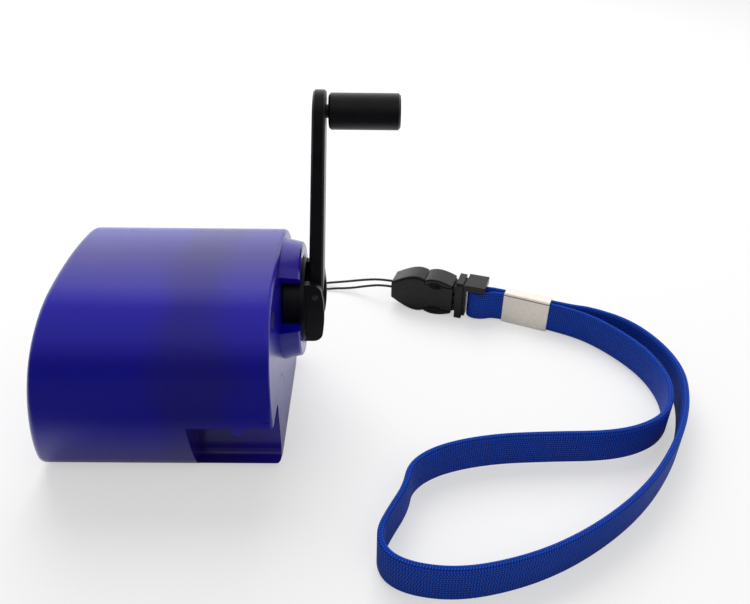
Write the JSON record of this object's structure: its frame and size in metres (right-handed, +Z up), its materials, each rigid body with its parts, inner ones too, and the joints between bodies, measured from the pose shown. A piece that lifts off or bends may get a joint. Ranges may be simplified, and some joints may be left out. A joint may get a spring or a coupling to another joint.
{
  "type": "hand crank generator",
  "caption": "Pocket hand crank generator: rounded blue case, folding black crank with a turning grip, thin string loop, side release buckle and blue wrist strap.",
  "frame": {"origin": "centre of the flat base of the case, on the surface that it stands on", "axes": "+X out of the end face with the crank, +Y the side away from the handle pocket, +Z up"},
  "size_m": [0.1689, 0.1255, 0.0863],
  "materials": {
    "case_blue": "smooth moulded deep blue, slightly see-through",
    "cover_blue": "smooth moulded deep blue",
    "steel": "plain",
    "frame_plastic": "moulded",
    "brass": "turned",
    "gear_plastic": "moulded acetal",
    "can_steel": "drawn",
    "black_plastic": "moulded",
    "copper": "enamelled windings",
    "magnet": "sintered",
    "board_green": "solder mask",
    "tongue_white": "moulded",
    "lamp": "clear moulded",
    "crank_black": "satin moulded",
    "buckle_black": "satin moulded",
    "crimp_metal": "satin pressed",
    "strap_blue": "woven tape",
    "string_white": "thin twisted string"
  },
  "bodies": {
    "case": {"main_case": "case_blue", "front_cover": "cover_blue", "case_screws": "steel", "front_plate": "frame_plastic", "rear_plate": "frame_plastic", "frame_spacers": "frame_plastic", "frame_screws": "steel", "crank_bush": "brass", "axle_1": "steel", "axle_2": "steel", "generator_housing": "can_steel", "generator_cap": "black_plastic", "stator": "copper", "circuit_board": "board_green", "usb_shell": "steel", "usb_tongue": "tongue_white", "usb_contacts": "brass", "capacitor": "can_steel", "indicator_light": "lamp", "string_loop": "string_white", "buckle_socket": "buckle_black"},
    "crank": {"crank_shaft": "steel", "drive_gear": "gear_plastic", "crank_hub": "crank_black", "hub_screw": "steel", "hinge_pin": "steel"},
    "arm": {"crank_arm": "crank_black", "handle_pin": "steel"},
    "grip": {"handle_grip": "crank_black"},
    "gear_1": {"compound_gear_1": "gear_plastic"},
    "gear_2": {"compound_gear_2": "gear_plastic"},
    "rotor": {"rotor_shaft": "steel", "rotor_magnet": "magnet", "rotor_pinion": "brass"},
    "clip": {"buckle_clip": "buckle_black", "strap_crimp": "crimp_metal", "wrist_strap": "strap_blue"}
  },
  "joints": [
    {"name": "crank_spin", "type": "hinge", "parent": "case", "child": "crank", "pos_m": [0.03, 0.0065, 0.0318], "axis": [1, 0, 0], "continuous": true},
    {"name": "arm_fold", "type": "hinge", "parent": "crank", "child": "arm", "pos_m": [0.0382, 0.0065, 0.0363], "axis": [0, 1, 0], "range_deg": [0, 180]},
    {"name": "handle_spin", "type": "hinge", "parent": "arm", "child": "grip", "pos_m": [0.0504, 0.0065, 0.0816], "axis": [1, 0, 0], "continuous": true},
    {"name": "gear_1_spin", "type": "hinge", "parent": "case", "child": "gear_1", "pos_m": [0.009, -0.00869, 0.02801], "axis": [1, 0, 0], "continuous": true},
    {"name": "gear_2_spin", "type": "hinge", "parent": "case", "child": "gear_2", "pos_m": [0.009, 0.00021, 0.01663], "axis": [1, 0, 0], "continuous": true},
    {"name": "rotor_spin", "type": "hinge", "parent": "case", "child": "rotor", "pos_m": [0, 0.01168, 0.02197], "axis": [1, 0, 0], "continuous": true},
    {"name": "buckle_release", "type": "slide", "parent": "case", "child": "clip", "axis": [0.9511, -0.309, 0], "range_m": [0, 0.018]}
  ],
  "couplings": [
    {"joint": "gear_1_spin", "follows": "crank_spin", "ratio": -3.3333},
    {"joint": "gear_2_spin", "follows": "crank_spin", "ratio": 10},
    {"joint": "rotor_spin", "follows": "crank_spin", "ratio": -25}
  ]
}
